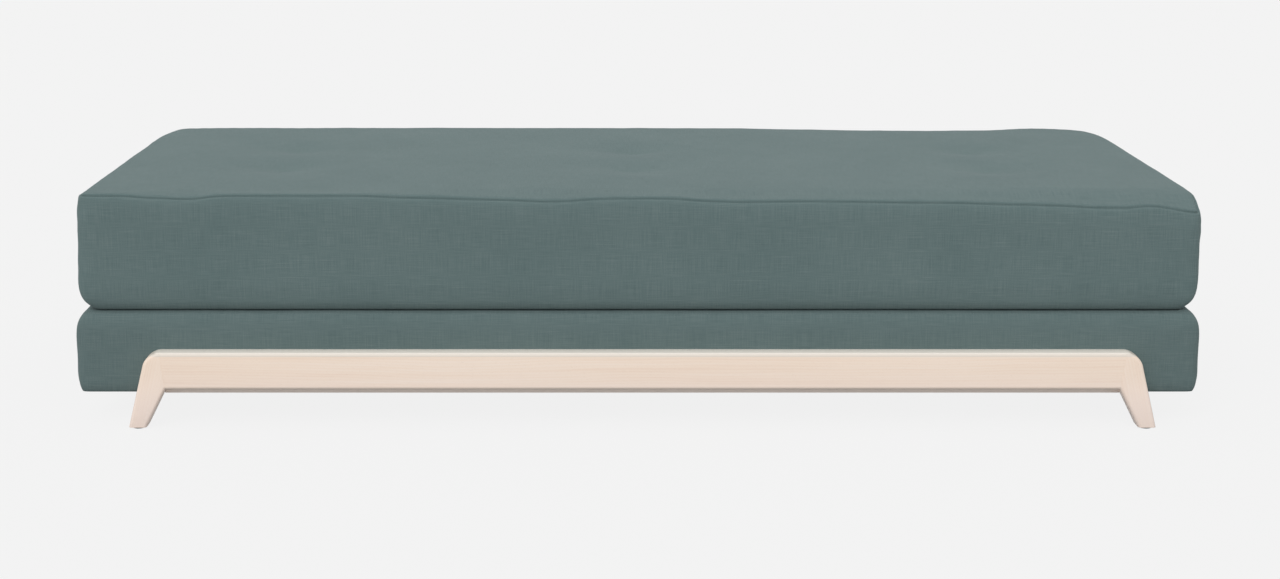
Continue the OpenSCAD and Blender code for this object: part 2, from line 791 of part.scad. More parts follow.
module tuft_washers() color(twine_colour) place() {
    for (z = [mattress_z + under_skin_t, upper_foam_top - washer_t]) at_tufts(z, washer_r, washer_t);
}

front_rail();
front_left_leg();
front_right_leg();
rear_left_leg();
rear_right_leg();
frame_dowels();
front_frame_bolts();
rear_leg_bolts();
foot_glides();
base_front_board();
base_rear_board();
base_left_board();
base_right_board();
base_corner_blocks();
base_centre_rail();
base_ledgers();
base_slats();
base_foam();
base_cover();
dust_cover();
hinge_base_leaves();
hinge_pins();
base_hinge_screws();
mattress_cover();
mattress_front_board();
mattress_rear_board();
mattress_left_board();
mattress_right_board();
mattress_corner_blocks();
mattress_lower_foam();
mattress_core();
mattress_upper_foam();
tuft_twines();
tuft_washers();
hinge_mattress_leaves();
mattress_hinge_screws();
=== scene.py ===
import math

import bmesh
import bpy
import numpy as np
from mathutils import Matrix, Vector, noise
from mathutils.kdtree import KDTree


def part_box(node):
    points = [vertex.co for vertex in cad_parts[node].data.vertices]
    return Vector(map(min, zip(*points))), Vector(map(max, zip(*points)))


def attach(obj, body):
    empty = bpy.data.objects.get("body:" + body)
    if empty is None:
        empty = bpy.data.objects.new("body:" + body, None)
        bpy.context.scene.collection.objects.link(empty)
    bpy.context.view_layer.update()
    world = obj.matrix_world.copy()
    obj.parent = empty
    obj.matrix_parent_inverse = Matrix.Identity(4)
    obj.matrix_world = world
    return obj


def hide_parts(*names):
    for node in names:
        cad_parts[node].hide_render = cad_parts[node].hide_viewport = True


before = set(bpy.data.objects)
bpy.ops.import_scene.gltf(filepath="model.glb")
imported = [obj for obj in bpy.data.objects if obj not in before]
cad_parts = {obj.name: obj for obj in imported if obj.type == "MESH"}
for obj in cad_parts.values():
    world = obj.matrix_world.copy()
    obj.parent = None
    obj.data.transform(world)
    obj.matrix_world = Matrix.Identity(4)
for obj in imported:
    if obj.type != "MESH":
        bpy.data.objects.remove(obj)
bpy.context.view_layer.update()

# All lengths are in metres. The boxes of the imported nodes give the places.
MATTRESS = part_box("mattress_cover")
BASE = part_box("base_cover")
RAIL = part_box("front_rail")
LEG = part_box("front_right_leg")
REAR_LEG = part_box("rear_right_leg")
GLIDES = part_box("foot_glides")
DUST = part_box("dust_cover")
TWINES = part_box("tuft_twines")
MIDDLE_Y = (BASE[0].y + BASE[1].y) / 2
TINY = 1e-5
# A share of a box counts as on its face within this
ON_FACE = 1e-4

# Camera: where it stands from the sofa's middle line, and how it looks down
CAMERA_PLACE = Vector((-0.089, -4.387 + MIDDLE_Y, 1.109))
CAMERA_TILT = 0.2151
CAMERA_LENS = 63.68
CAMERA_SENSOR = 36.0
CAMERA_SHIFT = 0.037

# Mattress: its upper seam lies CROWN below the top of its node, and its top rises inside it
CROWN = 0.005
CROWN_RISE = 0.003
CROWN_RUN = 0.17
# Tufts: how deep they are, how far they draw the top down, and the radius of the cloth that they hold
TWINE_R = 0.0015
TUFT_DEPTH = 0.0125
TUFT_REACH = 0.072
TUFT_HELD_R = 0.018
MATTRESS_CELLS = (134, 66, 16)
FRONT_CORNER = 0.009
REAR_CORNER = 0.022

# How far the covers stand out past their nodes at the ends, and lie to the left of the frame
MATTRESS_PROUD = 0.0040
BASE_PROUD = 0.0072
COVER_SHIFT = -0.0079

# Base: its rim lies BASE_CROWN below the top of its node. Its crown starts this far from the edge, and is
# whole this much further in.
BASE_CROWN = 0.0056
BASE_CROWN_RISE = 0.0051
BASE_CROWN_START = 0.05
BASE_CROWN_RUN = 0.16
BASE_CELLS = (100, 46, 12)
# Its underside is raised a little way inside its edge, and the dust cover lies in that recess
BASE_RECESS = 0.0012
RECESS_START = 0.005

# How far the cloth may move when it is blown up
SWELLING = 0.0022
BASE_SWELLING = 0.002
# Sewn grooves along the upper edges: their width and depth
MATTRESS_GROOVE = (0.006, 0.009)
BASE_GROOVE = (0.006, 0.0035)
CREASE = 0.9
# Unevenness of the cloth: the size, seed and height of its waves, and where they begin above the underside
PUCKERS = ((0.16, 3.1, 0.0009), (0.05, 8.7, 0.0003))
PUCKERS_START = 0.006
PUCKERS_RUN = 0.02

# Rolled edges: how far the cover is drawn in, over which height, and how suddenly
MATTRESS_UPPER_ROLL = (0.0036, 0.045, 1.8)
MATTRESS_LOWER_END_ROLL = (0.0255, 0.047, 3.2)
MATTRESS_LOWER_FRONT_ROLL = (0.013, 0.016, 2.2)
BASE_UPPER_END_ROLL = (0.0175, 0.042, 2.8)
BASE_UPPER_FRONT_ROLL = (0.013, 0.016, 2.3)
BASE_LOWER_END_ROLL = (0.006, 0.035, 2.5)
BASE_LOWER_FRONT_ROLL = (0.003, 0.014, 2.0)
# The rim of the mattress hangs this much below its underside, over this far from the edge and up the side
RIM_HANG = (0.0038, 0.045, 0.06)
# The left end of the mattress leans in towards its top, and both ends towards their rear corners
LEFT_LEAN = (0.0055, 0.16, 1.2)
REAR_LEAN = (0.017, 0.17, 1.6)
# The leans begin this far from the middle and are whole this much further out. The rear one fades away
# below this share of the height, and the form of the top below the other one.
LEAN_START = 0.7
LEAN_RUN = 0.2
LEAN_FOOT = 0.6
TOP_FOOT = 0.5

# Wooden frame
EDGE_R = 0.006
SHOULDER_R = 0.032
LEG_SPLAY = math.radians(14.2)
ARRIS = 0.001
JOINT_GROOVE = 0.0003
TONGUE_T = 0.008


# Selection and edit mode

def alone(piece=None):
    """Leaves edit mode and deselects everything, then selects the one piece."""
    if bpy.context.object and bpy.context.object.mode != "OBJECT":
        bpy.ops.object.mode_set(mode="OBJECT")
    bpy.ops.object.select_all(action="DESELECT")
    if piece:
        piece.select_set(True)
        bpy.context.view_layer.objects.active = piece


class Edit:
    """Edit mode on one piece: pick() selects parts of its mesh by a test, and operators act on them."""

    def __init__(self, piece):
        self.piece = piece

    def __enter__(self):
        alone(self.piece)
        bpy.ops.object.mode_set(mode="EDIT")
        return self

    def __exit__(self, *error):
        bpy.ops.object.mode_set(mode="OBJECT")

    def pick(self, kind, test):
        mesh = bmesh.from_edit_mesh(self.piece.data)
        mesh.select_mode = {kind}
        bpy.context.tool_settings.mesh_select_mode = (kind == "VERT", kind == "EDGE", kind == "FACE")
        for part in (*mesh.verts, *mesh.edges, *mesh.faces):
            part.select = False
        for part in {"VERT": mesh.verts, "EDGE": mesh.edges, "FACE": mesh.faces}[kind]:
            if test(part):
                part.select_set(True)
        bmesh.update_edit_mesh(self.piece.data)

    def bisect(self, place, normal, **options):
        self.pick("FACE", lambda f: True)
        bpy.ops.mesh.bisect(plane_co=place, plane_no=normal, **options)

    def move(self, place):
        """Puts every vertex where place says, from where it is."""
        mesh = bmesh.from_edit_mesh(self.piece.data)
        for vertex in mesh.verts:
            vertex.co = place(vertex.co)
        bmesh.update_edit_mesh(self.piece.data)


def middle(part):
    """The middle of an edge or a face."""
    return sum((v.co for v in part.verts), Vector()) / len(part.verts)


def along(edge, axis):
    """True if an edge runs along an axis of the frame."""
    run = edge.verts[1].co - edge.verts[0].co
    return abs(run[axis]) > 0.999 * run.length


def sharp(edge, degrees):
    return len(edge.link_faces) == 2 and edge.calc_face_angle() > math.radians(degrees)


def finish_primitive(name):
    """Names the new primitive and puts its place into its mesh."""
    piece = bpy.context.object
    piece.name = piece.data.name = name
    bpy.ops.object.transform_apply(location=True, rotation=True, scale=True)
    return piece


def add_box(name, low, high):
    alone()
    low, high = Vector(low), Vector(high)
    bpy.ops.mesh.primitive_cube_add(size=1, location=(low + high) / 2, scale=high - low)
    return finish_primitive(name)


def add_cylinder(name, centre, radius, length, axis="Z", sides=32):
    alone()
    turn = {"X": (0, math.pi / 2, 0), "Y": (math.pi / 2, 0, 0), "Z": (0, 0, 0)}[axis]
    bpy.ops.mesh.primitive_cylinder_add(
        vertices=sides, radius=radius, depth=length, location=centre, rotation=turn)
    return finish_primitive(name)


def copied(piece, name, shift=(0, 0, 0)):
    """A copy with its own mesh, moved by shift."""
    twin = piece.copy()
    twin.data = piece.data.copy()
    twin.name = twin.data.name = name
    bpy.context.scene.collection.objects.link(twin)
    twin.data.transform(Matrix.Translation(shift))
    return twin


def joined(name, pieces):
    alone(pieces[0])
    for piece in pieces:
        piece.select_set(True)
    bpy.ops.object.join()
    piece = bpy.context.object
    piece.name = piece.data.name = name
    return piece


def removed(piece):
    bpy.data.objects.remove(piece)


def modified(piece, kind, **settings):
    """Adds a modifier and applies it."""
    alone(piece)
    modifier = piece.modifiers.new(kind.title(), kind)
    for key, value in settings.items():
        setattr(modifier, key, value)
    bpy.ops.object.modifier_apply(modifier=modifier.name)


def bevel(width, segments):
    bpy.ops.mesh.bevel(offset=width, segments=segments, affect="EDGES")


def ease(edit, width, segments, degrees=60):
    edit.pick("EDGE", lambda e: sharp(e, degrees))
    bevel(width, segments)


def smooth_by_angle(piece, degrees=30):
    alone(piece)
    bpy.ops.object.shade_smooth_by_angle(angle=math.radians(degrees))


def vectors_of(parts, key):
    """A vector of each vertex or face."""
    vectors = np.empty(len(parts) * 3)
    parts.foreach_get(key, vectors)
    return vectors.reshape(-1, 3)


def points_of(piece):
    return vectors_of(piece.data.vertices, "co")


def set_points(piece, points):
    piece.data.vertices.foreach_set("co", points.ravel())
    piece.data.update()


def finished(piece, body, slot, material, *nodes):
    """Gives a piece its material, its body and the nodes that it stands for. The slot is not used."""
    piece.data.materials.clear()
    piece.data.materials.append(material)
    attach(piece, body)
    if nodes:
        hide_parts(*nodes)
    return piece


# Shader nodes

class Value:
    """A number or a vector on its way through a material's nodes. Numbers take the usual operators."""

    def __init__(self, shader, socket):
        self.shader = shader
        self.socket = socket

    def __add__(self, other):
        return self.shader.maths("ADD", self, other)

    def __sub__(self, other):
        return self.shader.maths("SUBTRACT", self, other)

    def __rsub__(self, other):
        return self.shader.maths("SUBTRACT", other, self)

    def __mul__(self, other):
        return self.shader.maths("MULTIPLY", self, other)

    def __abs__(self):
        return self.shader.maths("ABSOLUTE", self)

    __radd__ = __add__
    __rmul__ = __mul__


class Shader:
    """The node tree of one material, or of the world."""

    def __init__(self, name, kind="materials"):
        self.material = getattr(bpy.data, kind).new(name)
        self.material.use_nodes = True
        self.tree = self.material.node_tree
        self.tree.nodes.clear()

    def node(self, kind, settings=None, inputs=None, out=0):
        """Makes a node: its settings first, then the values or links of its sockets."""
        made = self.tree.nodes.new("ShaderNode" + kind)
        for key, value in (settings or {}).items():
            if key == "stops":
                while len(made.color_ramp.elements) < len(value):
                    made.color_ramp.elements.new(1)
                for element, (place, colour) in zip(made.color_ramp.elements, value):
                    element.position = place
                    element.color = (*colour, 1)
            else:
                setattr(made, key, value)
        for key, value in (inputs or {}).items():
            if isinstance(value, Value):
                self.tree.links.new(value.socket, made.inputs[key])
            else:
                made.inputs[key].default_value = value
        return Value(self, made.outputs[out]) if made.outputs else None

    def maths(self, operation, *values):
        return self.node("Math", {"operation": operation}, dict(enumerate(values)))

    def sine(self, value):
        return self.maths("SINE", value)

    def least(self, a, b):
        return self.maths("MINIMUM", a, b)

    def ramp(self, value, low, high):
        """0 below low, 1 above high, and smooth between them."""
        return self.node(
            "MapRange", {"interpolation_type": "SMOOTHSTEP"},
            {"Value": value, "From Min": low, "From Max": high})

    def places(self, uv=None):
        """The x, y and z of the piece's own coordinates, or of its UV map."""
        vector = self.node("UVMap", {"uv_map": uv}) if uv else self.node("TexCoord", out=3)
        return [self.node("SeparateXYZ", inputs={0: vector}, out=k) for k in range(3)]

    def point(self, x, y, z):
        return self.node("CombineXYZ", inputs={0: x, 1: y, 2: z})

    def noise(self, vector, scale=1.0, detail=2.0, rough=0.5):
        return self.node(
            "TexNoise", {"noise_dimensions": "3D"},
            {"Vector": vector, "Scale": scale, "Detail": detail, "Roughness": rough})

    def share_along(self, place, direction):
        return self.node("VectorMath", {"operation": "DOT_PRODUCT"}, {0: place, 1: direction}, 1)

    def gradient(self, value, *stops):
        """A colour by a value: stops are its places and its colours as they are seen."""
        stops = [(place, srgb(*colour)) for place, colour in stops]
        return self.node("ValToRGB", {"stops": stops}, {0: value})

    def mix(self, share, a, b):
        """One colour towards another."""
        return self.node("Mix", {"data_type": "RGBA"}, {0: share, 6: colour4(a), 7: colour4(b)}, 2)

    def bump(self, height, distance, strength=1.0):
        return self.node("Bump", inputs={"Height": height, "Distance": distance, "Strength": strength})

    def surface(self, **inputs):
        """The closing shader: names of its sockets with _ for a space."""
        sockets = {key.replace("_", " "): value for key, value in inputs.items()}
        shader = self.node("BsdfPrincipled", inputs=sockets)
        self.node("OutputMaterial", inputs={"Surface": shader})
        return self.material


def colour4(value):
    return value if isinstance(value, Value) else (*value, 1)


def srgb(red, green, blue):
    """A colour as it is seen on the screen, 0 to 255, in Blender's own linear values."""
    return tuple(
        c / 12.92 if c <= 0.04045 else ((c + 0.055) / 1.055) ** 2.4
        for c in (red / 255, green / 255, blue / 255))


# Materials

def upholstery_fabric(name, shade):
    """A plain linen-like weave, grey-green, with thick places in some of its threads. Shade darkens its
    whole colour as painted shade.
    """
    s = Shader(name)
    u, v, _ = s.places("weave")
    pitch, sway = 0.0011, 0.0016
    drift = (s.noise(s.point(u, v, 0), 9.0, 2.0) - 0.5) * sway
    warp = s.sine((u + drift) * (math.pi / pitch))
    weft = s.sine((v + drift) * (math.pi / pitch))
    over = s.ramp(warp * weft, -0.35, 0.35)
    threads = abs(warp) * over + abs(weft) * (1 - over)
    # Threads differ from each other, and along their length
    weft_slub = s.noise(s.point(u * 26, v * 760, 0), 1.0, 2.0)
    warp_slub = s.noise(s.point(u * 760, v * 22, 4), 1.0, 2.0)
    long_slub = s.ramp(s.noise(s.point(u * 9, v * 420, 7), 1.0, 1.0), 0.60, 0.74)
    tone = weft_slub * (1 - over) + warp_slub * over
    cloud = s.noise(s.point(u, v, 0), 5.0, 3.0)
    light = s.least(tone * 0.9 + cloud * 0.22 + threads * 0.22 + long_slub * 0.10 - 0.2, 1.0)
    dyes = ((0.18, (82, 100, 100)), (0.5, (98, 116, 116)), (0.86, (118, 132, 131)))
    # Shade scales every colour of the cloth: below 1 it is painted shade, as on the base's darker copy
    colour = s.gradient(light, *((place, [shade * part for part in dye]) for place, dye in dyes))
    height = threads * 0.55 + tone * 0.5 + long_slub * 0.35
    return s.surface(
        Base_Color=colour, Roughness=0.93, Specular_IOR_Level=0.12,
        Sheen_Weight=0.12, Sheen_Roughness=0.5, Sheen_Tint=(0.82, 0.9, 0.9, 1),
        Normal=s.bump(height, 0.0005, 0.55))


def wood(name, grain, side, pale=True, rail=False):
    """Planed wood with its fibres along the grain direction. Pale is the matt lacquered frame, with light
    and shade painted on by height; rail adds painted shade to the rail's lower edge and painted light to the
    tongue."""
    s = Shader(name)
    place = s.node("TexCoord", out=3)
    run, span = s.share_along(place, grain), s.share_along(place, side)
    deep = s.share_along(place, Vector(grain).cross(Vector(side)))
    wander = s.noise(s.point(run * 1.7, span * 9, deep * 9), 1.0, 2.0) - 0.5
    rings = s.sine((span + deep * 0.35 + wander * 0.035) * 1150)
    fibres = s.noise(s.point(run * 14, span * 950, deep * 950), 1.0, 3.0, 0.6)
    streaks = s.noise(s.point(run * 2.2, span * 95, deep * 95), 1.0, 3.0, 0.55)
    flecks = s.ramp(s.noise(s.point(run * 170, span * 1500, deep * 1500), 1.0, 1.0), 0.66, 0.74)
    tone = streaks * 0.55 + fibres * 0.28 + rings * 0.05 + wander * 0.35 + 0.1
    if pale:
        stops = (0.22, (233, 209, 190)), (0.5, (240, 221, 204)), (0.78, (243, 228, 215))
        fleck_colour, rough = srgb(214, 189, 166), 0.50
    else:
        stops = (0.2, (198, 164, 118)), (0.5, (219, 190, 146)), (0.8, (232, 208, 168))
        fleck_colour, rough = srgb(170, 128, 84), 0.62
    colour = s.mix(flecks * 0.35, s.gradient(tone, *stops), fleck_colour)
    if pale:
        # Painted light makes it paler towards the floor. Painted shade greys the rounding of the upper edge,
        # and a painted highlight makes it pale again along its top.
        z, under, top = s.node("SeparateXYZ", inputs={0: place}, out=2), RAIL[0].z, RAIL[1].z
        colour = s.mix((1 - s.ramp(z, 0.03, 0.125)) * 0.6, colour, srgb(250, 233, 225))
        colour = s.mix(s.ramp(z, top - 0.0075, top - 0.0050), colour, srgb(221, 212, 201))
        colour = s.mix(s.ramp(z, top - 0.0024, top - 0.0006) * 0.75, colour, srgb(250, 243, 233))
    if rail:
        # Painted shade darkens the rail's rounded lower edge
        colour = s.mix((1 - s.ramp(z, under, under + 0.0075)) * 0.7, colour, srgb(200, 187, 175))
        # Painted light makes the tongue below the rail paler, against the rail's shade
        colour = s.mix(1 - s.ramp(z, under - 0.0012, under), colour, srgb(250, 238, 229))
    return s.surface(
        Base_Color=colour, Roughness=rough + (0.5 - fibres) * 0.12, Specular_IOR_Level=0.4,
        Coat_Weight=0.06 if pale else 0.0, Coat_Roughness=0.45,
        Normal=s.bump(fibres * 0.7 - flecks * 0.5, 0.00012, 0.6))


def foam():
    """Cut foam with fine pores."""
    s = Shader("foam")
    place = s.node("TexCoord", out=3)
    pores = s.node("TexVoronoi", inputs={"Vector": place, "Scale": 900})
    cloud = s.noise(place, 14, 3)
    colour = s.gradient(cloud * 0.6 + pores * 0.4, (0.3, (226, 216, 184)), (0.7, (242, 236, 212)))
    return s.surface(
        Base_Color=colour, Roughness=0.95, Specular_IOR_Level=0.1, Normal=s.bump(pores, 0.0008, 0.8))


def dust_fabric():
    """Black spun cloth with pressed dots and loose fibres."""
    s = Shader("dust_fabric")
    x, y, _ = s.places()
    dots = s.ramp(s.sine(x * 2100) * s.sine(y * 2100), 0.35, 0.7)
    fibres = s.noise(s.point(x, y, 0), 420, 4, 0.7)
    crossed = s.noise(s.point(x * 900, y * 60, 0), 1, 2)
    shade = fibres * 0.6 + crossed * 0.4
    colour = s.gradient(shade - dots * 0.12, (0.3, (30, 30, 32)), (0.7, (58, 58, 61)))
    return s.surface(
        Base_Color=colour, Roughness=0.88 - dots * 0.18, Specular_IOR_Level=0.25,
        Normal=s.bump(shade * 0.5 - dots, 0.0003, 0.7))


def steel(name, stretch):
    """Zinc-plated steel, brushed along one direction, with faint spots."""
    s = Shader(name)
    x, y, z = s.places()
    brushed = s.noise(s.point(x * stretch[0], y * stretch[1], z * stretch[2]), 1, 3, 0.6)
    spots = s.noise(s.point(x, y, z), 60, 4, 0.6)
    colour = s.gradient(spots * 0.6 + brushed * 0.4, (0.3, (186, 189, 194)), (0.7, (214, 216, 219)))
    return s.surface(
        Base_Color=colour, Metallic=1.0, Roughness=0.30 + brushed * 0.16 + spots * 0.08,
        Normal=s.bump(brushed, 0.00003, 0.5))


def plastic():
    """Dark moulded plastic with a fine grain and scuffs."""
    s = Shader("glide_plastic")
    place = s.node("TexCoord", out=3)
    grain = s.noise(place, 1800, 2)
    scuffs = s.ramp(s.noise(place, 130, 4, 0.65), 0.52, 0.7)
    colour = s.mix(scuffs * 0.5, srgb(62, 60, 58), srgb(92, 90, 87))
    return s.surface(
        Base_Color=colour, Roughness=0.5 + scuffs * 0.2, Normal=s.bump(grain, 0.00008, 0.7))


def twine():
    """Twisted thread in the colour of the cloth."""
    s = Shader("twine")
    x, y, z = s.places()
    ply = s.sine((x + y) * 2600 + z * 4200)
    fuzz = s.noise(s.point(x, y, z), 2600, 2)
    colour = s.gradient(ply * 0.3 + fuzz * 0.5 + 0.25, (0.2, (86, 100, 98)), (0.8, (124, 138, 135)))
    return s.surface(Base_Color=colour, Roughness=0.85, Normal=s.bump(ply + fuzz, 0.0002, 0.7))


# Padded forms

def gridded(piece, cells):
    """Cuts a box into a grid, with so many cells along x, y and z."""
    with Edit(piece) as edit:
        for axis, count in enumerate(cells):
            edit.pick("EDGE", lambda e: along(e, axis))
            bpy.ops.mesh.subdivide(number_cuts=count - 1)


def smooth(t):
    t = np.clip(t, 0, 1)
    return t * t * (3 - 2 * t)


def drawn(height, roll):
    """How far a rolled edge is drawn in at a height away from its seam."""
    inward, rise, power = roll
    return inward * np.clip(1 - height / rise, 0, 1) ** power


def crowded(t, amount=0.42):
    """Moves shares of a side towards its two ends, so that the cells there are smaller."""
    return t - amount * np.sin(2 * np.pi * t) / (2 * np.pi)


def round_corners(plan, size, rear_radius):
    """Moves points near the corners of a rectangle onto the same rectangle with round corners."""
    radius = np.where(plan[:, 1:] < 0, FRONT_CORNER, rear_radius)
    core = np.clip(plan, radius - size, size - radius)
    out = plan - core
    square = np.abs(out).max(axis=1, keepdims=True)
    length = np.linalg.norm(out, axis=1, keepdims=True)
    corner = (np.abs(out) > 0).all(axis=1, keepdims=True)
    return np.where(corner, core + out * square / np.maximum(length, TINY), plan)


def wavy(values, table):
    """A smooth curve through a short table of places and heights."""
    xs, ys = np.array(table).T
    k = np.clip(np.searchsorted(xs, values) - 1, 0, len(xs) - 2)
    return ys[k] + (ys[k + 1] - ys[k]) * smooth((values - xs[k]) / (xs[k + 1] - xs[k]))


def ripple(points, size, seed):
    """Smooth noise from -1 to 1 at each point."""
    shift = Vector((seed, 2 * seed, 3 * seed))
    return np.array([noise.noise(Vector(p) / size + shift) for p in points])


# How the cloth is blown up
CLOTH = {
    "quality": 5, "mass": 0.02, "use_pressure": True, "uniform_pressure_force": 4, "tension_stiffness": 6,
    "compression_stiffness": 3, "shear_stiffness": 2, "bending_stiffness": 0.3, "pin_stiffness": 1,
    "vertex_group_mass": "held",
}
CLOTH_FRAMES = 20


def puffed(piece, held, cap):
    """Blows the piece up as cloth. held gives how firmly each vertex stays where it is, and no vertex moves
    further than cap."""
    start = points_of(piece)
    group = piece.vertex_groups.new(name="held")
    for index in np.flatnonzero(held > 0):
        group.add([int(index)], float(held[index]), "REPLACE")
    alone(piece)
    cloth = piece.modifiers.new("Cloth", "CLOTH")
    for key, value in CLOTH.items():
        setattr(cloth.settings, key, value)
    cloth.settings.effector_weights.gravity = 0
    cloth.collision_settings.use_collision = False
    for step in range(1, CLOTH_FRAMES + 1):
        bpy.context.scene.frame_set(step)
    bpy.ops.object.modifier_apply(modifier="Cloth")
    bpy.context.scene.frame_set(1)
    piece.vertex_groups.clear()
    moved = points_of(piece) - start
    far = np.linalg.norm(moved, axis=1)
    set_points(piece, start + moved * np.minimum(1, cap / np.maximum(far, TINY ** 2))[:, None])


def weave_uv(piece):
    """Lays the weave on the panels in metres: the upper and lower panels by x and y, the sides upright."""
    mesh = piece.data
    layer = mesh.uv_layers.new(name="weave")
    mesh.uv_layers.active = layer
    normals = np.abs(vectors_of(mesh.polygons, "normal"))
    counts = np.empty(len(mesh.polygons), int)
    mesh.polygons.foreach_get("loop_total", counts)
    corners = np.empty(len(mesh.loops), int)
    mesh.loops.foreach_get("vertex_index", corners)
    places = points_of(piece)[corners]
    panel = np.where(normals[:, 2] > 0.72, 0, np.where(normals[:, 1] >= normals[:, 0], 1, 2))
    panel = np.repeat(panel, counts)[:, None]
    flat, front, end = places[:, :2], places[:, ::2], places[:, 1:]
    layer.data.foreach_set("uv", np.where(panel == 0, flat, np.where(panel == 1, front, end)).ravel())


def tufts():
    """The places of the six tufts from the middle of the cushion, from the twines inside."""
    right, back = TWINES[1].x - TWINE_R, TWINES[1].y - TWINE_R - MIDDLE_Y
    return [(x, y) for x in (-right, 0, right) for y in (-back, back)]


# How far the mattress's upper seam lies below its nominal height along x, at the front and at the rear
FRONT_DROP = [
    (-1.0, -0.0060), (-0.93, -0.0055), (-0.87, -0.0015), (-0.795, 0.0013), (-0.74, -0.0053),
    (-0.49, -0.0053), (-0.41, -0.0013), (-0.25, 0.0022), (-0.17, 0.0058), (-0.12, 0.0051), (-0.075, 0.0),
    (0.055, -0.0002), (0.12, 0.0051), (0.19, 0.0066), (0.28, 0.0052), (0.546, 0.0078), (0.672, 0.0111),
    (0.735, 0.0127), (0.814, 0.0166), (0.862, 0.0172), (0.895, 0.0134), (1.0, 0.0134),
]
REAR_DROP = [
    (-1.00, 0.0072), (-0.90, 0.0064), (0.00, 0.0068), (0.23, 0.0072), (0.36, 0.0101), (0.49, 0.0123),
    (0.62, 0.0130), (0.75, 0.0121), (0.878, 0.0072), (0.96, 0.0095), (0.99, 0.0120),
]
# The same seams without their waves, which are what the whole top follows
FRONT_SLOPE = [(-1.0, -0.0055), (-0.4, -0.0020), (0.2, 0.0010), (1.0, 0.0000)]
REAR_SLOPE = [(-1.0, 0.0066), (0.2, 0.0070), (0.6, 0.0090), (1.0, 0.0090)]
# How far a wave of a seam runs into the top
WAVE_RUN = 0.085
# The right front corner sinks by this much more, over this far along x and y
CORNER_SLUMP = (0.0125, 0.09, 0.05)
# How far the top may rise above the seam's nominal height, and how softly it is held there
TOP_LIMIT = (0.0054, 0.0013)
# The top keeps room for its swelling this far in from its edge
SWELLING_RUN = 0.04
# How the top goes over from the front's slope to the rear's
SLOPE_POWER = 1.2


def cover_plan(points, box, inward, proud, rear_corner):
    """Where the points of a gridded box lie when its sides are drawn in and its corners are round.
    Gives their places from the middle and the half sizes of the outline at their heights."""
    low, high = box
    half = np.array([(high.x - low.x) / 2 + proud, (high.y - low.y) / 2])
    share = crowded((points[:, :2] - [low.x, low.y]) / [high.x - low.x, high.y - low.y])
    size = half - np.stack(inward, 1)
    return round_corners((share - 0.5) * 2 * size, size, rear_corner), size


def top_of_mattress(x, y, size):
    """How far the mattress's top lies above its nominal seam, at places from the middle of the cushion."""
    edge = size - np.abs(np.stack([x, y], 1))
    to_front, to_rear = y + size[:, 1], size[:, 1] - y
    depth = np.clip(to_front / (2 * size[:, 1]), 0, 1) ** SLOPE_POWER
    front, rear = wavy(x, FRONT_SLOPE), wavy(x, REAR_SLOPE)
    drop = front * (1 - depth) + rear * depth
    drop += (wavy(x, FRONT_DROP) - front) * (1 - smooth(to_front / WAVE_RUN))
    drop += (wavy(x, REAR_DROP) - rear) * (1 - smooth(to_rear / WAVE_RUN))
    slump, slump_x, slump_y = CORNER_SLUMP
    drop += slump * (1 - smooth((size[:, 0] - x) / slump_x)) * (1 - smooth(to_front / slump_y))
    crown = CROWN_RISE * (1 - (1 - np.clip(edge / CROWN_RUN, 0, 1)) ** 2).prod(1)
    limit, softness = TOP_LIMIT
    over = crown - drop - limit + SWELLING * smooth(edge.min(1) / SWELLING_RUN)
    rise = crown - drop - (over + np.sqrt(over ** 2 + softness ** 2)) / 2
    dips = sum(np.exp(-((x - tx) ** 2 + (y - ty) ** 2) / TUFT_REACH ** 2) for tx, ty in tufts())
    return rise - dips * TUFT_DEPTH


def levels(points, box, crown):
    """The height of a box under its crown, and its points' heights in it as shares and as lengths."""
    low, high = box
    tall = high.z - crown - low.z
    share = crowded((points[:, 2] - low.z) / tall)
    return tall, share, share * tall


def near_end(x):
    """0 over the middle of the length and 1 at both ends."""
    return smooth((np.abs(x) - LEAN_START) / LEAN_RUN)


def mattress_form(points):
    """Bends the gridded box of the mattress into its padded form."""
    tall, share, height = levels(points, MATTRESS, CROWN)
    upper = drawn(tall - height, MATTRESS_UPPER_ROLL)
    inward = [drawn(height, roll) + upper for roll in (MATTRESS_LOWER_END_ROLL, MATTRESS_LOWER_FRONT_ROLL)]
    plan, size = cover_plan(points, MATTRESS, inward, MATTRESS_PROUD, REAR_CORNER)
    x, y = plan.T
    z = MATTRESS[0].z + height + top_of_mattress(x, y, size) * smooth((share - TOP_FOOT) / (1 - TOP_FOOT))
    hang, hang_in, hang_up = RIM_HANG
    z -= hang * (1 - smooth((size - np.abs(plan)).min(1) / hang_in)) * (1 - smooth(height / hang_up))
    lean = drawn(size[:, 1] - y, REAR_LEAN) * smooth((share - LEAN_FOOT) / (1 - LEAN_FOOT)) * -np.sign(x)
    lean += drawn(tall - height, LEFT_LEAN) * (x < 0)
    return np.stack([x + lean * near_end(x) + COVER_SHIFT, y + MIDDLE_Y, z], 1)


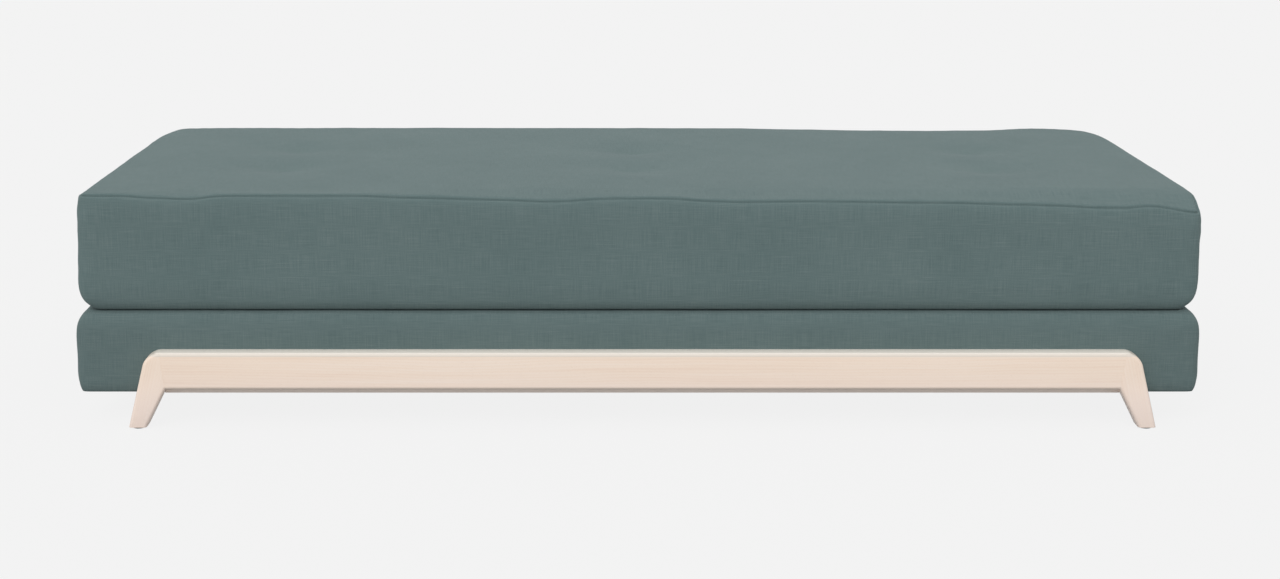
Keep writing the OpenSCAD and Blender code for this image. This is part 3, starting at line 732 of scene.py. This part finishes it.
def base_form(points):
    """Bends the gridded box of the base's cover into its padded form."""
    tall, share, height = levels(points, BASE, BASE_CROWN)
    inward = [drawn(height, lower) + drawn(tall - height, upper) for lower, upper in (
        (BASE_LOWER_END_ROLL, BASE_UPPER_END_ROLL), (BASE_LOWER_FRONT_ROLL, BASE_UPPER_FRONT_ROLL))]
    plan, size = cover_plan(points, BASE, inward, BASE_PROUD, FRONT_CORNER)
    x, y = plan.T
    edge = size - np.abs(plan)
    rise = BASE_CROWN_RISE * smooth((edge - BASE_CROWN_START) / BASE_CROWN_RUN).prod(1)
    recess = np.where(edge.min(1) > RECESS_START, BASE_RECESS, 0)
    z = BASE[0].z + height + np.where(share > 1 - ON_FACE, rise, np.where(share < ON_FACE, recess, 0))
    return np.stack([x + COVER_SHIFT, y + MIDDLE_Y, z], 1)


def box_share(points):
    """Places in the points' own box, from 0 to 1 along each axis."""
    low, high = points.min(0), points.max(0)
    return (points - low) / (high - low)


def on_face(share, level):
    """Marks the vertices of a box on its lower or upper face, at level 0 or 1."""
    return np.abs(share[:, 2] - level) < ON_FACE


def on_seam(share, level):
    """Marks the vertices of a box on the border of its upper or lower face."""
    border = np.minimum(share[:, :2], 1 - share[:, :2]).min(1) < ON_FACE
    return border & on_face(share, level)


def creased(piece, border):
    """Keeps a loop of marked vertices sharp when the piece is subdivided."""
    with Edit(piece) as edit:
        edit.pick("EDGE", lambda e: all(border[v.index] for v in e.verts))
        bpy.ops.transform.edge_crease(value=CREASE)


def grooved(piece, seam, width, depth):
    """Draws a sewn seam along a loop of marked vertices: a narrow strip with a sunken middle."""
    normals = vectors_of(piece.data.vertices, "normal")
    stitches = KDTree(int(seam.sum()))
    for index in np.flatnonzero(seam):
        stitches.insert(piece.data.vertices[index].co, int(index))
    stitches.balance()
    with Edit(piece) as edit:
        edit.pick("EDGE", lambda e: all(seam[v.index] for v in e.verts))
        bevel(width / 2, 2)

        def pulled(co):
            _, index, gap = stitches.find(co)
            return co - Vector(normals[index]) * depth if gap < width / 3 else co

        edit.move(pulled)


def finish_cover(piece, bottom, top, groove):
    """Makes a blown-up cover smooth, with its lower edge kept sharp, its seam, its puckers and its weave."""
    creased(piece, bottom)
    grooved(piece, top, *groove)
    modified(piece, "SUBSURF", levels=1, render_levels=1)
    puckers(piece)
    weave_uv(piece)
    alone(piece)
    bpy.ops.object.shade_smooth()


def make_mattress(fabric):
    low, high = MATTRESS
    piece = add_box("mattress_cushion", low, (high.x, high.y, high.z - CROWN))
    gridded(piece, MATTRESS_CELLS)
    share = box_share(points_of(piece))
    set_points(piece, mattress_form(points_of(piece)))
    top, bottom = on_seam(share, 1), on_seam(share, 0)
    places = points_of(piece)
    sewn = np.zeros(len(places))
    for tx, ty in tufts():
        near = np.hypot(places[:, 0] - tx - COVER_SHIFT, places[:, 1] - ty - MIDDLE_Y) < TUFT_HELD_R
        sewn[near & on_face(share, 1)] = 1
    puffed(piece, np.maximum.reduce([on_face(share, 0) * 1.0, sewn, top]), SWELLING)
    finish_cover(piece, bottom, top, MATTRESS_GROOVE)
    finished(piece, "mattress", "upholstery", fabric, "mattress_cover")


def puckers(piece):
    """Small unevenness of the cloth: gentle hollows all over but on the underside."""
    points = points_of(piece)
    wave = sum(ripple(points, size, seed) * height for size, seed, height in PUCKERS)
    wave *= smooth((points[:, 2] - points[:, 2].min() - PUCKERS_START) / PUCKERS_RUN)
    set_points(piece, points + vectors_of(piece.data.vertices, "normal") * wave[:, None])


def make_base(fabric):
    low, high = BASE
    piece = add_box("base_cushion", low, (high.x, high.y, high.z - BASE_CROWN))
    gridded(piece, BASE_CELLS)
    share = box_share(points_of(piece))
    set_points(piece, base_form(points_of(piece)))
    held = on_face(share, 0) | on_face(share, 1)
    puffed(piece, held * 1.0, BASE_SWELLING)
    finish_cover(piece, on_seam(share, 0), on_seam(share, 1), BASE_GROOVE)
    finished(piece, "base", "upholstery", fabric, "base_cover")


def make_topper_foam(material):
    """The upper foam, which follows the cover's top and stays under it."""
    low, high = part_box("mattress_upper_foam")
    skin = MATTRESS[1].z - CROWN - high.z
    cells, under = (60, 30, 3), 0.001
    piece = add_box("topper_foam", low, high)
    gridded(piece, cells)
    points = points_of(piece)
    share = box_share(points)
    size = np.full((len(points), 2), [(high.x - low.x) / 2, (high.y - low.y) / 2])
    x, y = points[:, 0], points[:, 1] - MIDDLE_Y
    points[:, 2] += (top_of_mattress(x, y, size) - under) * smooth(share[:, 2])
    points[:, 0] -= drawn(size[:, 1] - y, REAR_LEAN) * near_end(x) * np.sign(x)
    set_points(piece, points)
    with Edit(piece) as edit:
        ease(edit, skin * 0.6, 3)
    smooth_by_angle(piece)
    finished(piece, "mattress", "foam", material, "mattress_upper_foam")


def node_copy(node, name):
    """A copy of a node that stands by itself."""
    piece = copied(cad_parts[node], name)
    piece.parent = None
    for key in list(piece.keys()):
        del piece[key]
    return piece


def make_inner_foams(material):
    """The foams below, drawn in at the faces where the covers roll over them."""
    for name, node, body, upper, inset in (
        ("cushion_foam", "mattress_lower_foam", "mattress", False, 0.012),
        ("seat_foam", "base_foam", "base", True, 0.006),
    ):
        low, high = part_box(node)
        piece = node_copy(node, name)
        level = high.z if upper else low.z
        for vertex in piece.data.vertices:
            if abs(vertex.co.z - level) < TINY:
                for axis in (0, 1):
                    vertex.co[axis] = min(max(vertex.co[axis], low[axis] + inset), high[axis] - inset)
        finished(piece, body, "foam", material, node)


def make_tufting(thread):
    """Under each tuft a twisted twine between two washers with eased rims."""
    low, high = TWINES
    steps, twist, bow = 80, 60, TWINE_R * 0.3
    half = np.array([[MATTRESS[1].x, MATTRESS[1].y - MIDDLE_Y]])
    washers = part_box("tuft_washers")
    radius = washers[1].x - (TWINES[1].x - TWINE_R)
    thick = washers[1].z - high.z
    washer = add_cylinder("washer", (0, 0, 0), radius, thick)
    with Edit(washer) as edit:
        ease(edit, thick * 0.3, 3)
    twine = add_cylinder("twine", (0, 0, 0), TWINE_R, 1, sides=12)
    with Edit(twine) as edit:
        edit.pick("EDGE", lambda e: along(e, 2))
        bpy.ops.mesh.subdivide(number_cuts=steps)
        edit.move(lambda co: Matrix.Rotation(co.z * twist, 3, "Z") @ (co + Vector((bow, 0, 0))))
    twines, discs = [], []
    for x, y in tufts():
        rise = top_of_mattress(np.array([x]), np.array([y]), half)
        top = high.z + min(float(rise[0]) + TUFT_DEPTH - CROWN_RISE, 0)
        one = copied(twine, "twine")
        one.data.transform(Matrix.Translation((x, y + MIDDLE_Y, (low.z + top) / 2)) @ Matrix.Diagonal(
            (1, 1, top - low.z, 1)))
        twines.append(one)
        for z in (low.z - thick / 2, top + thick / 2):
            discs.append(copied(washer, "washer", (x, y + MIDDLE_Y, z)))
    removed(washer)
    removed(twine)
    for name, pieces in (("tuft_twine", twines), ("tuft_washer", discs)):
        whole = joined(name, pieces)
        smooth_by_angle(whole, 40)
        finished(whole, "mattress", "twine", thread, name + "s")


# Wooden frame

def outer_x(z):
    """The outer edge of a right leg at height z."""
    return LEG[1].x - (z - LEG[0].z) * math.tan(LEG_SPLAY)


def foot_inner_x():
    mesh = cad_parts["front_right_leg"].data
    return min(v.co.x for v in mesh.vertices if v.co.z < LEG[0].z + TINY)


def front_blank():
    """The rail and the front legs in one outline, before they are cut at their joints."""
    knee_x, foot_z, under, top = LEG[0].x, LEG[0].z, RAIL[0].z, RAIL[1].z
    front, back = RAIL[0].y, RAIL[1].y
    inner = foot_inner_x()
    blank = add_box("front_blank", (-outer_x(under), front, under), (outer_x(under), back, top))
    with Edit(blank) as edit:
        for x in (-knee_x, knee_x):
            edit.bisect((x, 0, 0), (1, 0, 0))
        edit.pick("FACE", lambda f: f.normal.z < -0.5 and abs(middle(f).x) > knee_x)
        bpy.ops.mesh.extrude_region_move(TRANSFORM_OT_translate={"value": (0, 0, foot_z - under)})

        def outline(co):
            side = math.copysign(1, co.x)
            if co.z < foot_z + TINY:
                return Vector((side * (LEG[1].x if abs(co.x) > knee_x + TINY else inner), co.y, co.z))
            if co.z > top - TINY and abs(co.x) > knee_x + TINY:
                return Vector((side * outer_x(top), co.y, co.z))
            return co

        edit.move(outline)
        edit.pick("EDGE", lambda e: along(e, 1) and middle(e).z > top - TINY
                  and abs(middle(e).x) > knee_x + TINY)
        bevel(SHOULDER_R * math.tan((math.pi / 2 - LEG_SPLAY) / 2), 16)
        edit.pick("EDGE", lambda e: sharp(e, 60) and middle(e).y < front + TINY
                  and middle(e).z > foot_z + TINY)
        bevel(EDGE_R, 7)
        ease(edit, ARRIS, 2, 40)
    return blank


def joint_plane():
    """A point and the outward direction of the joint between the rail and the right leg."""
    lean = math.atan2(RAIL[1].x - LEG[0].x, RAIL[1].z - RAIL[0].z)
    return Vector((LEG[0].x, 0, RAIL[0].z)), Vector((math.cos(lean), 0, -math.sin(lean)))


def cut(piece, place, outward, keep_inside):
    """Cuts a piece by a plane, closes it and eases the cut's edge."""
    with Edit(piece) as edit:
        edit.bisect(place, outward, use_fill=True, clear_outer=keep_inside, clear_inner=not keep_inside)
        edit.pick("EDGE", lambda e: all(abs((v.co - place).dot(outward)) < TINY for v in e.verts))
        bevel(JOINT_GROOVE, 1)


def rail_tongue():
    """A thin tongue behind the rail's lower edge, which hides the base's lower edge."""
    end = LEG[0].x - ARRIS
    tongue = add_box(
        "tongue", (-end, RAIL[1].y - TONGUE_T, BASE[0].z + ARRIS), (end, RAIL[1].y, RAIL[0].z + EDGE_R / 2))
    spread = (foot_inner_x() - LEG[0].x) / (RAIL[0].z - LEG[0].z)
    with Edit(tongue) as edit:
        edit.move(lambda co: co + Vector((math.copysign(spread * (RAIL[0].z - co.z), co.x), 0, 0)))
        edit.pick("EDGE", lambda e: sharp(e, 60) and middle(e).z < RAIL[0].z)
        bevel(ARRIS, 2)
    return tongue


def make_wooden_frame(rail_wood, left_wood, right_wood):
    """The rail and the front legs from one blank, and the rear legs as copies, cut off below the slats."""
    blank = front_blank()
    place, outward = joint_plane()
    joints = [(place, outward), (Vector((-place.x, 0, place.z)), Vector((-outward.x, 0, outward.z)))]
    rail = copied(blank, "rail")
    for joint in joints:
        cut(rail, *joint, True)
    pieces = [(joined("wooden_rail", [rail, rail_tongue()]), rail_wood, "front_rail")]
    for side, material, joint in (("right", right_wood, joints[0]), ("left", left_wood, joints[1])):
        leg = copied(blank, "wooden_leg_front_" + side)
        cut(leg, *joint, False)
        pieces.append((leg, material, f"front_{side}_leg"))
    removed(blank)
    back, top = (0, REAR_LEG[1].y - LEG[1].y, 0), Vector((0, 0, REAR_LEG[1].z))
    for leg, material, node in pieces[1:]:
        rear = copied(leg, leg.name.replace("front", "rear"), back)
        cut(rear, top, Vector((0, 0, 1)), True)
        pieces.append((rear, material, node.replace("front", "rear")))
    for piece, material, node in pieces:
        smooth_by_angle(piece)
        finished(piece, "base", "pale_wood", material, node)


def make_glides(material):
    """Round glides under the feet, each hollow in the middle of its underside."""
    height = GLIDES[1].z - GLIDES[0].z
    foot_x = (LEG[1].x + foot_inner_x()) / 2
    glide_r = GLIDES[1].x - foot_x
    made = []
    for x in (-foot_x, foot_x):
        for y in (GLIDES[0].y + glide_r, GLIDES[1].y - glide_r):
            glide = add_cylinder("glide", (x, y, height / 2), glide_r, height, sides=40)
            with Edit(glide) as edit:
                edit.pick("FACE", lambda f: f.normal.z < -0.9)
                bpy.ops.mesh.inset(thickness=glide_r * 0.66)
                bpy.ops.mesh.extrude_region_move(TRANSFORM_OT_translate={"value": (0, 0, height * 0.3)})
                ease(edit, height * 0.12, 2)
            made.append(glide)
    glides = joined("glides", made)
    smooth_by_angle(glides)
    finished(glides, "base", "glide_plastic", material, "foot_glides")


# Under the base

def make_dust_cover(cloth, metal):
    """Spun cloth under the base: its edge is turned in and stapled, and it sags a little."""
    low, high = DUST
    lift, thick, hem_w, hem_run = 0.0003, 0.0006, 0.02, 0.004
    sag, sag_run, wave, wave_size, wave_seed, wave_run = 0.003, 0.25, 0.0006, 0.09, 5.3, 0.03
    alone()
    bpy.ops.mesh.primitive_grid_add(
        x_subdivisions=120, y_subdivisions=54, size=1,
        location=((low.x + high.x) / 2, (low.y + high.y) / 2, low.z - lift))
    bpy.context.object.scale = (high.x - low.x, high.y - low.y, 1)
    sheet = finish_primitive("dust_cloth")
    # Cut out round the rear legs, whose inner edge lies this far out from the knee here
    room, lean = 0.0012, 0.004
    with Edit(sheet) as edit:
        for side in (-1, 1):
            for x in (LEG[0].x + lean, outer_x(low.z) + room):
                edit.bisect((side * x, 0, 0), (1, 0, 0))
        for y in (REAR_LEG[0].y - room, REAR_LEG[1].y + room):
            edit.bisect((0, y, 0), (0, 1, 0))
        edit.pick("FACE", lambda f: LEG[0].x < abs(middle(f).x) < outer_x(low.z) + room
                  and REAR_LEG[0].y - room < middle(f).y < REAR_LEG[1].y + room)
        bpy.ops.mesh.delete(type="FACE")
    points = points_of(sheet)
    edge = np.minimum(high.x - np.abs(points[:, 0]), np.minimum(points[:, 1] - low.y, high.y - points[:, 1]))
    waves = ripple(points, wave_size, wave_seed) * wave * smooth(edge / wave_run)
    hem = thick * (1 - smooth((edge - hem_w) / hem_run + 0.5))
    points[:, 2] += -sag * smooth(edge / sag_run) + waves - hem
    set_points(sheet, points)
    modified(sheet, "SOLIDIFY", thickness=thick, offset=1)
    smooth_by_angle(sheet, 40)
    finished(sheet, "base", "dust_fabric", cloth, "dust_cover")
    make_staples(metal, low, high)


def make_staples(metal, low, high):
    """Staples round the edge of the dust cover, but not where the rear legs pass it."""
    inset, pitch, clear, z = 0.009, 0.075, 0.01, low.z - 0.0009
    wide, thick, tall = 0.0105, 0.0012, 0.0006
    made = []
    corner = Vector((wide / 2, thick / 2, tall))
    staple = add_box("staple", -corner, corner)
    with Edit(staple) as edit:
        edit.pick("EDGE", lambda e: sharp(e, 60) and middle(e).z < 0)
        bevel(tall * 0.45, 2)
    turned = copied(staple, "turned")
    turned.data.transform(Matrix.Rotation(math.pi / 2, 4, "Z"))
    count_x, count_y = round((high.x - low.x) / pitch), round((high.y - low.y) / pitch)
    for k in range(count_x):
        x = low.x + (k + 0.5) * (high.x - low.x) / count_x
        for y in (low.y + inset, high.y - inset):
            if y < 0 or not LEG[0].x - clear < abs(x) < LEG[1].x:
                made.append(copied(staple, "staple", (x, y, z)))
    for k in range(1, count_y):
        y = low.y + k * (high.y - low.y) / count_y
        for x in (low.x + inset, high.x - inset):
            made.append(copied(turned, "staple", (x, y, z)))
    removed(staple)
    removed(turned)
    staples = joined("dust_cover_staples", made)
    smooth_by_angle(staples)
    finished(staples, "base", "steel", metal)


# Hinges

def eased_copy(node, name, width):
    """A copy of a metal node with its edges eased: its triangles are merged into whole faces first."""
    piece = node_copy(node, name)
    with Edit(piece) as edit:
        edit.pick("FACE", lambda f: True)
        bpy.ops.mesh.remove_doubles(threshold=1e-6)
        bpy.ops.mesh.dissolve_limited(angle_limit=math.radians(0.5))
        ease(edit, width, 2, 40)
    smooth_by_angle(piece)
    return piece


def make_screws(name, node, metal, body):
    """Countersunk screws with cross recesses, one per solid of the node. Vertices of near rows mix, so they
    sit a few mm too high or low."""
    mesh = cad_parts[node].data
    low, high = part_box(node)
    length = high.y - low.y
    head_r, shank_r, cut_w, cut_deep, spread = 0.0047, 0.0024, 0.0011, 0.0019, 0.02
    heads = []
    for v in mesh.vertices:
        if v.co.y > high.y - TINY:
            near = next((h for h in heads if (h[0] / h[1] - v.co).length < spread), None)
            if near:
                near[0] += v.co
                near[1] += 1
            else:
                heads.append([v.co.copy(), 1])
    screw = add_cylinder("screw", (0, -head_r / 4, 0), head_r, head_r / 2, "Y")
    with Edit(screw) as edit:
        edit.pick("FACE", lambda f: f.normal.y < -0.9)
        bpy.ops.transform.resize(value=(shank_r / head_r, 1, shank_r / head_r), center_override=(0, 0, 0))
        bpy.ops.mesh.extrude_region_move(TRANSFORM_OT_translate={"value": (0, -(length - 2 * head_r), 0)})
        bpy.ops.mesh.extrude_region_move(TRANSFORM_OT_translate={"value": (0, -head_r, 0)})
        bpy.ops.transform.resize(value=(0.15, 1, 0.15), center_override=(0, 0, 0))
    arm = (head_r * 0.62, cut_w / 2)
    for wide, tall in (arm, arm[::-1]):
        cutter = add_box("cutter", (-wide, -cut_deep, -tall), (wide, cut_deep, tall))
        with Edit(cutter) as edit:
            edit.pick("FACE", lambda f: f.normal.y < -0.9)
            bpy.ops.transform.resize(value=(0.55, 1, 0.55), center_override=(0, 0, 0))
        modified(screw, "BOOLEAN", object=cutter, operation="DIFFERENCE", solver="EXACT")
        removed(cutter)
    made = []
    for k, (total, count) in enumerate(heads):
        one = copied(screw, "screw")
        one.data.transform(Matrix.Translation(total / count) @ Matrix.Rotation(0.7 * k, 4, "Y"))
        made.append(one)
    removed(screw)
    screws = joined(name, made)
    smooth_by_angle(screws)
    finished(screws, body, "steel", metal, node)


def make_hinges(plate_metal, pin_metal):
    width = 0.00025
    for node, name, body, metal in (
        ("hinge_base_leaves", "hinge_leaves_lower", "base", plate_metal),
        ("hinge_mattress_leaves", "hinge_leaves_upper", "mattress", plate_metal),
        ("hinge_pins", "hinge_pins_eased", "base", pin_metal),
    ):
        finished(eased_copy(node, name, width), body, "steel", metal, node)
    make_screws("hinge_screws_lower", "base_hinge_screws", pin_metal, "base")
    make_screws("hinge_screws_upper", "mattress_hinge_screws", pin_metal, "mattress")


# Pieces inside keep their CAD nodes and get materials

def dress_inner_nodes(along_x, along_y, upright, soft, metal):
    looks = {
        along_x: "base_front_board base_rear_board base_centre_rail base_ledgers frame_dowels "
                 "mattress_front_board mattress_rear_board",
        along_y: "base_left_board base_right_board base_slats mattress_left_board mattress_right_board",
        upright: "base_corner_blocks mattress_corner_blocks",
        soft: "mattress_core",
        metal: "front_frame_bolts rear_leg_bolts",
    }
    for material, nodes in looks.items():
        for node in nodes.split():
            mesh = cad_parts[node].data
            mesh.materials.clear()
            mesh.materials.append(material)


# Room, light and camera

BACKGROUND = srgb(243, 243, 243)
FLOOR_GLOW = 0.96
FLOOR_SEEN = (0.87, 0.87, 0.87)
FLOOR_BOUNCE = (0.44, 0.44, 0.44)
FLOOR_SIZE = 80
FLOOR_Y = 20
ROOM_LIGHT = 0.68
SUN_LIGHT = 1.57
SUN_ANGLE = math.radians(35)
SUN_TOWARDS = Vector((0.30, 0.86, -0.79))
FAR_END = 200


def watched(s):
    """1 for rays by which something is seen, and 0 for those that only light it."""
    camera, glossy, clear = (s.node("LightPath", out=k) for k in (0, 3, 6))
    return s.least(camera + glossy + clear, 1.0)


def make_stage():
    alone()
    bpy.ops.mesh.primitive_plane_add(size=FLOOR_SIZE, location=(0, FLOOR_Y, 0))
    floor = finish_primitive("floor")
    s = Shader("floor_paper")
    bounce = s.node("BsdfDiffuse", inputs={"Color": (*FLOOR_BOUNCE, 1)})
    seen = s.node("BsdfDiffuse", inputs={"Color": (*FLOOR_SEEN, 1)})
    glow = s.node("Emission", inputs={"Color": (*BACKGROUND, 1), "Strength": 1.0})
    shown = s.node("MixShader", inputs={0: FLOOR_GLOW, 1: seen, 2: glow})
    both = s.node("MixShader", inputs={0: watched(s), 1: bounce, 2: shown})
    s.node("OutputMaterial", inputs={"Surface": both})
    floor.data.materials.append(s.material)


def make_world():
    """A white room that lights the sofa, and is seen in the colour of the background."""
    s = Shader("room", "worlds")
    bpy.context.scene.world = s.material
    room = s.node("Background", inputs={"Color": (1, 1, 1, 1), "Strength": ROOM_LIGHT})
    seen = s.node("Background", inputs={"Color": (*BACKGROUND, 1)})
    both = s.node("MixShader", inputs={0: watched(s), 1: room, 2: seen})
    s.node("OutputWorld", inputs={"Surface": both})


def make_lights():
    light = bpy.data.lights.new("key", "SUN")
    light.energy = SUN_LIGHT
    light.angle = SUN_ANGLE
    key = bpy.data.objects.new("key", light)
    bpy.context.scene.collection.objects.link(key)
    key.rotation_euler = SUN_TOWARDS.to_track_quat("-Z", "Y").to_euler()


def make_camera():
    data = bpy.data.cameras.new("camera")
    data.lens = CAMERA_LENS
    data.sensor_width = CAMERA_SENSOR
    data.shift_x = CAMERA_SHIFT
    data.clip_end = FAR_END
    camera = bpy.data.objects.new("camera", data)
    bpy.context.scene.collection.objects.link(camera)
    camera.location = CAMERA_PLACE
    camera.rotation_euler = (math.pi / 2 - CAMERA_TILT, 0, 0)
    bpy.context.scene.camera = camera


make_camera()
make_world()
make_lights()
make_stage()

# The fibres run down the legs, which lean about one in four
lean = math.atan2(1, 4)
leg_grain = {side: Vector((-side * math.sin(lean), 0, math.cos(lean))) for side in (-1, 1)}
leg_side = {side: Vector((math.cos(lean), 0, side * math.sin(lean))) for side in (-1, 1)}
soft = foam()
make_mattress(upholstery_fabric("upholstery_fabric", 1.0))
# The base's cloth is the same cloth, darkened by painted shade
make_base(upholstery_fabric("upholstery_fabric_base_painted_shade", 0.965))
make_topper_foam(soft)
make_inner_foams(soft)
make_tufting(twine())
make_wooden_frame(
    wood("pale_wood_rail", (1, 0, 0), (0, 0, 1), rail=True),
    wood("pale_wood_left_leg", leg_grain[-1], leg_side[-1]),
    wood("pale_wood_right_leg", leg_grain[1], leg_side[1]))
make_glides(plastic())
plate_metal = steel("plated_steel_plates", (40, 40, 1600))
turned_metal = steel("plated_steel_turned", (1400, 40, 40))
make_dust_cover(dust_fabric(), turned_metal)
make_hinges(plate_metal, turned_metal)
dress_inner_nodes(
    wood("inner_wood_along", (1, 0, 0), (0, 0, 1), False),
    wood("inner_wood_across", (0, 1, 0), (0, 0, 1), False),
    wood("inner_wood_upright", (0, 0, 1), (1, 0, 0), False),
    soft, turned_metal)

bpy.context.scene.view_settings.view_transform = "Standard"
